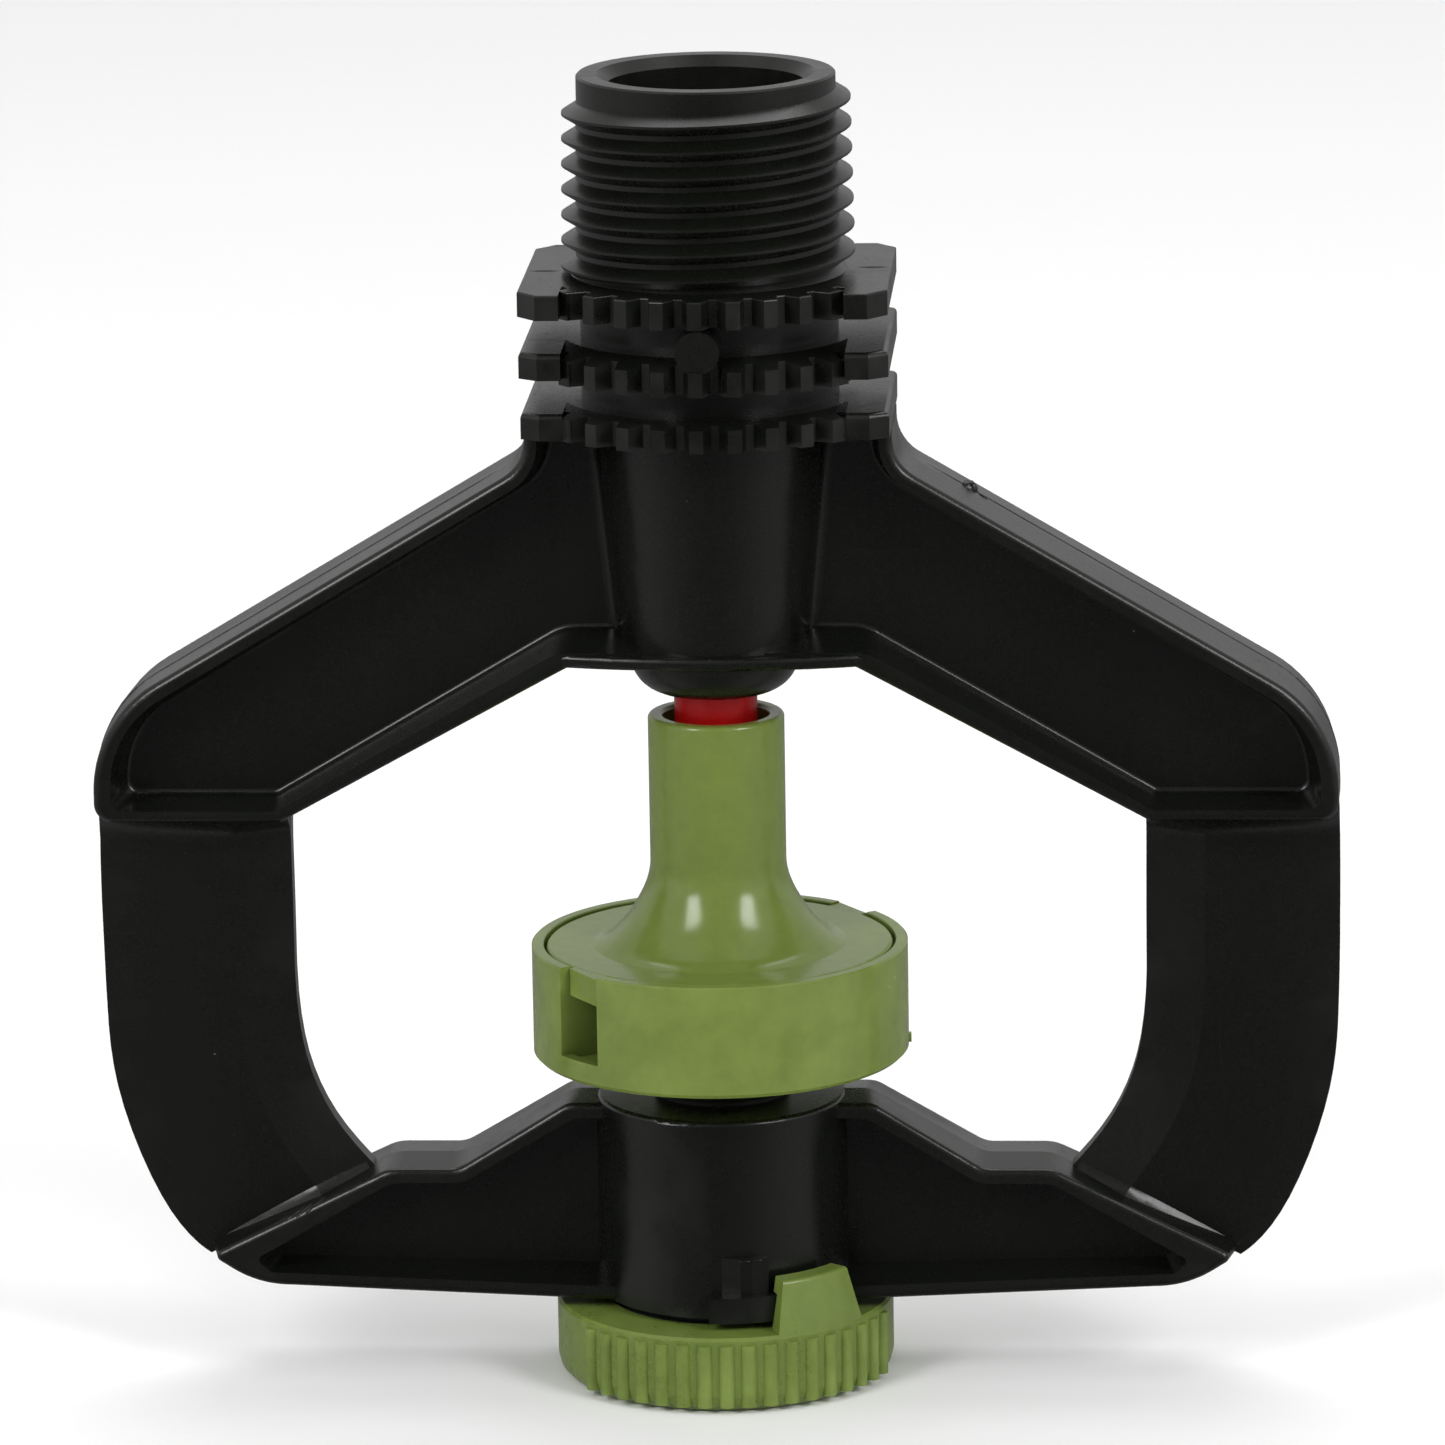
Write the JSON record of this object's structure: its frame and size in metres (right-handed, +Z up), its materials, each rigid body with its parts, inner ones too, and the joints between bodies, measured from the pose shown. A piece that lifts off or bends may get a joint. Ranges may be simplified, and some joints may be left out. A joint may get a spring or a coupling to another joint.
{
  "type": "impact sprinkler",
  "caption": "Bridge-type ball-driven impact sprinkler: threaded inlet collar over a yoke with a jet nozzle, a rotor on a spindle and a bayonet bottom cap.",
  "frame": {"origin": "on the water axis, in the plane of the flat underside of the bottom cap", "axes": "+Z up along the water axis towards the threaded inlet, X across the bridge, -Y the front with the moulding gate stub"},
  "size_m": [0.0896, 0.0272, 0.0955],
  "materials": {
    "black_plastic": "satin moulded, slight gloss on rounded edges",
    "red_plastic": "glossy moulded",
    "rotor_green": "semi-gloss moulded",
    "cap_green": "semi-gloss moulded",
    "deflector_green": "moulded",
    "carrier_plastic": "moulded",
    "white_acetal": "natural acetal",
    "bush_acetal": "natural acetal",
    "ptfe": "smooth PTFE",
    "stainless": "ground stainless steel",
    "spring_steel": "stamped stainless steel",
    "ball_steel": "polished stainless steel",
    "rubber": "moulded nitrile"
  },
  "bodies": {
    "bridge": {"bridge_frame": "black_plastic", "nozzle": "red_plastic", "nozzle_o_ring": "rubber", "upper_bearing_sleeve": "white_acetal", "dust_seal": "rubber"},
    "spindle_group": {"spindle": "stainless", "retaining_clips": "spring_steel", "thrust_washer": "ptfe"},
    "rotor": {"rotor_cup": "rotor_green", "rotor_funnel": "rotor_green", "jet_deflector": "deflector_green", "rotor_bush": "bush_acetal", "ball_race_ring": "deflector_green"},
    "ball": {"drive_ball": "ball_steel"},
    "cap": {"bottom_cap": "cap_green", "bearing_carrier": "carrier_plastic", "lower_bearing_bush": "bush_acetal", "cap_o_ring": "rubber"}
  },
  "joints": [
    {"name": "rotor_float", "type": "slide", "parent": "bridge", "child": "spindle_group", "axis": [0, 0, 1], "range_m": [0, 0.0008]},
    {"name": "rotor_spin", "type": "hinge", "parent": "spindle_group", "child": "rotor", "pos_m": [0, 0, 0.03], "axis": [0, 0, 1], "continuous": true},
    {"name": "ball_orbit", "type": "hinge", "parent": "rotor", "child": "ball", "pos_m": [0, 0, 0.0275], "axis": [0, 0, 1], "range_deg": [-65, 262]},
    {"name": "cap_turn", "type": "hinge", "parent": "bridge", "child": "cap", "pos_m": [0, 0, 0.003], "axis": [0, 0, 1], "range_deg": [-60, 0]}
  ]
}
